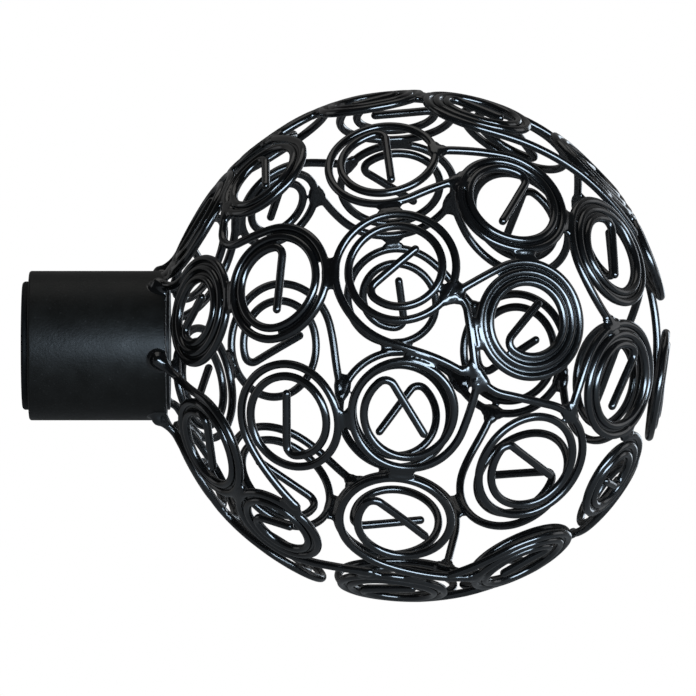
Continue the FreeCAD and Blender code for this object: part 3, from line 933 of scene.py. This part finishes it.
def weld_skin(centre, bodies, blend, between_wires):
    """Points and quads of one weld between bodies given as distance fields.

    It stays inside the ball. Between wires it is a web that lies lower than they do, so that their ridges
    run on through it. At the collar it may stand as high as a wire on the collar's side.
    """
    count = math.ceil(WELD_REACH / WELD_CELL) + 1
    steps = np.arange(-count, count + 1) * WELD_CELL
    grid = np.stack(np.meshgrid(steps, steps, steps, indexing="ij"), axis=-1)
    away = np.linalg.norm(grid, axis=-1).ravel()
    points = grid.reshape(-1, 3) + centre
    width = blend * np.clip(1 - (away / WELD_REACH) ** 2, 0, 1)
    distances = [body(points) for body in bodies]
    field = distances[0]
    for distance in distances[1:]:
        field = blended(field, distance, width)
    from_shell = np.linalg.norm(points - BALL_CENTRE, axis=1) - SHELL_RADIUS
    proud = from_shell - WIRE_RADIUS
    if between_wires:
        bare = np.minimum.reduce(distances)
        web = np.maximum(field, np.abs(from_shell) - WEB_HALF_THICKNESS)
        field = blended(bare, web, np.minimum(WEB_EASE, (bare - field) / BLEND_SHARE))
    else:
        from_axis = np.hypot(points[:, 1], points[:, 2])
        proud = np.minimum(proud, from_axis - COLLAR_RADIUS - WELD_GAP - WIRE_DIAMETER)
    field = np.maximum.reduce((field, proud, away - WELD_REACH + WELD_SUNK)) + WELD_SUNK
    skin, quads = net_skin(field.reshape(grid.shape[:3]))
    return (skin - count) * WELD_CELL + centre, quads


def nearest_places(line, gaps, widest, apart):
    """Numbers of a line's points where its gap to something is least, each some way from the others."""
    gaps = gaps.copy()
    while gaps.min() < widest:
        nearest = gaps.argmin()
        yield nearest
        gaps[np.linalg.norm(line - line[nearest], axis=1) < apart] = np.inf


def joints_of(lines):
    """Places where wires of different scrolls come close enough to be welded, each once."""
    widest = WIRE_DIAMETER + WELD_WIDEST_GAP
    found = []
    for one, line in enumerate(lines):
        for beside in lines[one + 1:]:
            apart = np.maximum(line.min(axis=0) - beside.max(axis=0), beside.min(axis=0) - line.max(axis=0))
            if apart.max() > widest:
                continue
            there, gap = nearest_on(line, beside)
            for nearest in nearest_places(line, gap, widest, 2 * WELD_REACH):
                found.append((line[nearest] + there[nearest]) / 2)
    places = []
    for place in found:
        if all(np.linalg.norm(place - other) > SAME_WELD for other in places):
            places.append(place)
    return places


def add_welds(name, places, blend, with_collar=False):
    """One piece made of the welds at these places."""
    points, faces, count = [], [], 0
    for place in places:
        bodies = [wire_field(line, place) for line in lines]
        bodies = [body for body in bodies if body] + [collar_field] * with_collar
        skin, quads = weld_skin(place, bodies, blend, not with_collar)
        points.append(skin)
        faces.append(quads + count)
        count += len(skin)
    mesh = mesh_of(name, np.vstack(points), np.vstack(faces).tolist())
    new_piece(name, mesh, WIRE_PAINT, "wire_paint")


joints = joints_of(lines)
rows = np.searchsorted(ROW_LIMITS, [angle_of(place - BALL_CENTRE, COLLAR_SIDE) for place in joints])
for row in range(len(ROW_LIMITS) + 1):
    in_row = [place for place, its_row in zip(joints, rows) if its_row == row]
    add_welds(f"row_{row + 1}_welds", in_row, WELD_BLEND)
seated = [line for scroll, line in zip(wound_scrolls, lines) if scroll.scroll.seat is not None]
add_welds("collar_seat_welds", [line[-1] for line in seated], SEAT_BLEND, with_collar=True)
rim_places = []
for line in seated:
    gaps = collar_field(line) - WIRE_RADIUS
    gaps[np.linalg.norm(line - line[-1], axis=1) < SEAT_APART] = np.inf
    rim_places += [line[nearest] for nearest in nearest_places(line, gaps, RIM_GAP, RIM_APART)]
add_welds("collar_rim_welds", rim_places, RIM_BLEND, with_collar=True)

# Stage, light and camera, in metres and watts

WHITE = (1, 1, 1, 1)
# The backdrop stands behind the finial: it starts and is whole at these depths of a direction's unit vector
BACKDROP_EDGE = (0.25, 0.6)
ROOM_LIGHT = 0.03
FLOOR_REACH = 0.8
FLOOR_LEVEL = -0.14
FLOOR_COLOUR = (0.45, 0.45, 0.45, 1)
FLOOR_ROUGHNESS = 0.9
FLOOR_WHITE = 0.82
# How much of the white backdrop and floor shows in the black gloss
BACKDROP_IN_GLOSS = 0.12
FLOOR_IN_GLOSS = 0.05
# The lamps face the middle of the finial
MIDDLE = Vector((0.047, 0.0, 0.0))
# The photograph's view: square to the pole, from far off, with a long lens, and x and z of its middle
CAMERA_DISTANCE = 1.5
VIEW_CENTRE = (0.0469, -0.00035)
PIXELS_PER_METRE = 6795.0
IMAGE_SIZE = 696
SENSOR = 36.0


def seen_share(tree, in_gloss):
    """1 for rays that show the white stage, from the camera or through glass, and a share in reflections."""
    path = add_node(tree, "ShaderNodeLightPath").outputs
    straight = maths(tree, "MAXIMUM", path["Is Camera Ray"], path["Is Transmission Ray"])
    return maths(tree, "MAXIMUM", straight, maths(tree, "MULTIPLY", path["Is Glossy Ray"], in_gloss))


def plain_floor():
    """A pale floor well below the finial, which is held by its pole; it shows white."""
    corners = [(-FLOOR_REACH, -FLOOR_REACH), (FLOOR_REACH, -FLOOR_REACH),
               (FLOOR_REACH, FLOOR_REACH), (-FLOOR_REACH, FLOOR_REACH)]
    floor_mesh = bpy.data.meshes.new("floor")
    floor_mesh.from_pydata([(x, y, FLOOR_LEVEL) for x, y in corners], [], [(0, 1, 2, 3)])
    floor = new_object("floor", floor_mesh)
    material = bpy.data.materials.new("floor_white")
    material.use_nodes = True
    tree = material.node_tree
    shader = tree.nodes["Principled BSDF"]
    shader.inputs["Base Color"].default_value = FLOOR_COLOUR
    shader.inputs["Roughness"].default_value = FLOOR_ROUGHNESS
    shader.inputs["Specular IOR Level"].default_value = 0.0
    shader.inputs["Emission Color"].default_value = WHITE
    glow = maths(tree, "MULTIPLY", seen_share(tree, FLOOR_IN_GLOSS), FLOOR_WHITE)
    tree.links.new(glow, shader.inputs["Emission Strength"])
    floor_mesh.materials.append(material)


def white_world():
    """White for the camera and faintly behind the finial in its gloss, and a dim room for the rest."""
    world = bpy.data.worlds.new("studio")
    bpy.context.scene.world = world
    world.use_nodes = True
    tree = world.node_tree
    background = tree.nodes["Background"]
    way = add_node(tree, "ShaderNodeTexCoord").outputs["Generated"]
    depth = add_node(tree, "ShaderNodeSeparateXYZ", {"Vector": way}).outputs["Y"]
    edge = {"Value": depth, "From Min": BACKDROP_EDGE[0], "From Max": BACKDROP_EDGE[1]}
    behind = add_node(tree, "ShaderNodeMapRange", edge).outputs[0]
    seen = seen_share(tree, maths(tree, "MULTIPLY", behind, BACKDROP_IN_GLOSS))
    levels = {MIX_FACTOR: seen, MIX_NUMBERS[0]: ROOM_LIGHT, MIX_NUMBERS[1]: 1.0}
    strength = add_node(tree, "ShaderNodeMix", levels, data_type="FLOAT").outputs[0]
    background.inputs["Color"].default_value = WHITE
    tree.links.new(strength, background.inputs["Strength"])


def soft_box(name, place, width, height, power, colour):
    """A rectangular soft light that faces the finial."""
    data = bpy.data.lights.new(name, "AREA")
    data.shape = "RECTANGLE"
    data.size = width
    data.size_y = height
    data.energy = power
    data.color = colour
    lamp = new_object(name, data)
    lamp.location = place
    lamp.rotation_euler = (MIDDLE - Vector(place)).to_track_quat("-Z", "Y").to_euler()


plain_floor()
white_world()
soft_box("front_strip", place=(0.48, -0.89, -0.02), width=1.0, height=0.40, power=22.0,
         colour=(0.66, 0.83, 1.0))
soft_box("top_box", place=(0.0, 0.15, 0.98), width=0.8, height=0.6, power=0.9, colour=(1.0, 0.98, 0.95))
soft_box("rear_strip", place=(0.52, 0.86, 0.06), width=0.3, height=0.6, power=1.5,
         colour=(0.80, 0.90, 1.0))
soft_box("left_box", place=(-0.98, 0.2, 0.15), width=0.5, height=0.7, power=0.5, colour=(0.95, 0.97, 1.0))
soft_box("right_box", place=(1.05, 0.25, 0.15), width=0.5, height=0.7, power=0.9, colour=(0.95, 0.97, 1.0))

camera_data = bpy.data.cameras.new("camera")
camera_data.sensor_width = SENSOR
camera_data.lens = SENSOR * PIXELS_PER_METRE * CAMERA_DISTANCE / IMAGE_SIZE
camera = new_object("camera", camera_data)
camera.location = (VIEW_CENTRE[0], -CAMERA_DISTANCE, VIEW_CENTRE[1])
camera.rotation_euler = (math.pi / 2, 0.0, 0.0)
bpy.context.scene.camera = camera
bpy.context.scene.view_settings.view_transform = "Standard"
